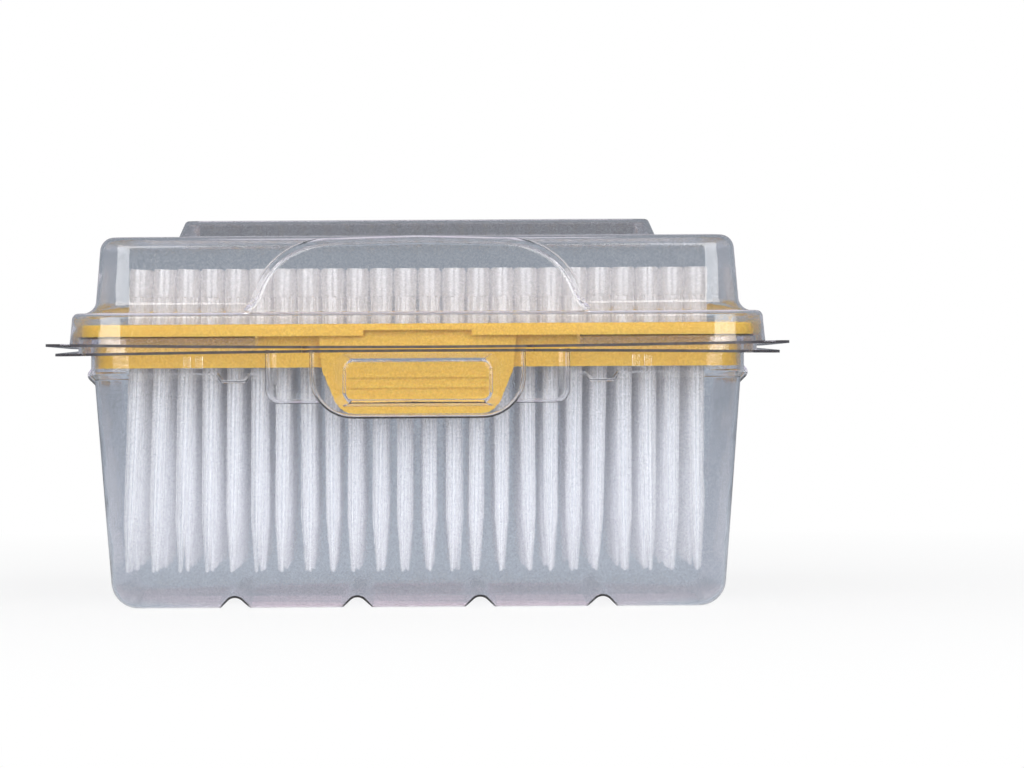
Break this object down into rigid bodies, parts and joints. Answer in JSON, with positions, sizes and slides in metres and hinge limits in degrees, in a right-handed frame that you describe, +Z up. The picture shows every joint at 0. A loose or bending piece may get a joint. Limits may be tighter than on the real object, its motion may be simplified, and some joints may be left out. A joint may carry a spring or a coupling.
{
  "type": "box of pipette tips",
  "caption": "Clear hinged clamshell box holding a moulded rack filled with fine pipette tips for a lab bench.",
  "frame": {"origin": "middle of the tub's floor, on the surface that the box stands on", "axes": "+X along the long side, the front with the latch pocket faces -Y and the hinge fold is at +Y, +Z is up"},
  "size_m": [0.138, 0.1004, 0.0724],
  "materials": {
    "clear_sheet": "clear formed polyester sheet, glossy",
    "yellow_rack": "opaque moulded polypropylene, satin",
    "natural_tips": "natural translucent polypropylene"
  },
  "bodies": {
    "tub": {"tub": "clear_sheet", "rack": "yellow_rack", "tips_column_01": "natural_tips", "tips_column_02": "natural_tips", "tips_column_03": "natural_tips", "tips_column_04": "natural_tips", "tips_column_05": "natural_tips", "tips_column_06": "natural_tips", "tips_column_07": "natural_tips", "tips_column_08": "natural_tips", "tips_column_09": "natural_tips", "tips_column_10": "natural_tips", "tips_column_11": "natural_tips", "tips_column_12": "natural_tips", "tips_column_13": "natural_tips", "tips_column_14": "natural_tips", "tips_column_15": "natural_tips", "tips_column_16": "natural_tips", "tips_column_17": "natural_tips", "tips_column_18": "natural_tips", "tips_column_19": "natural_tips", "tips_column_20": "natural_tips", "tips_column_21": "natural_tips", "tips_column_22": "natural_tips", "tips_column_23": "natural_tips", "tips_column_24": "natural_tips"},
    "lid": {"lid": "clear_sheet"}
  },
  "joints": [
    {"name": "lid_hinge", "type": "hinge", "parent": "tub", "child": "lid", "pos_m": [0, 0.049, 0.04807], "axis": [-1, 0, 0], "range_deg": [0, 180]}
  ]
}
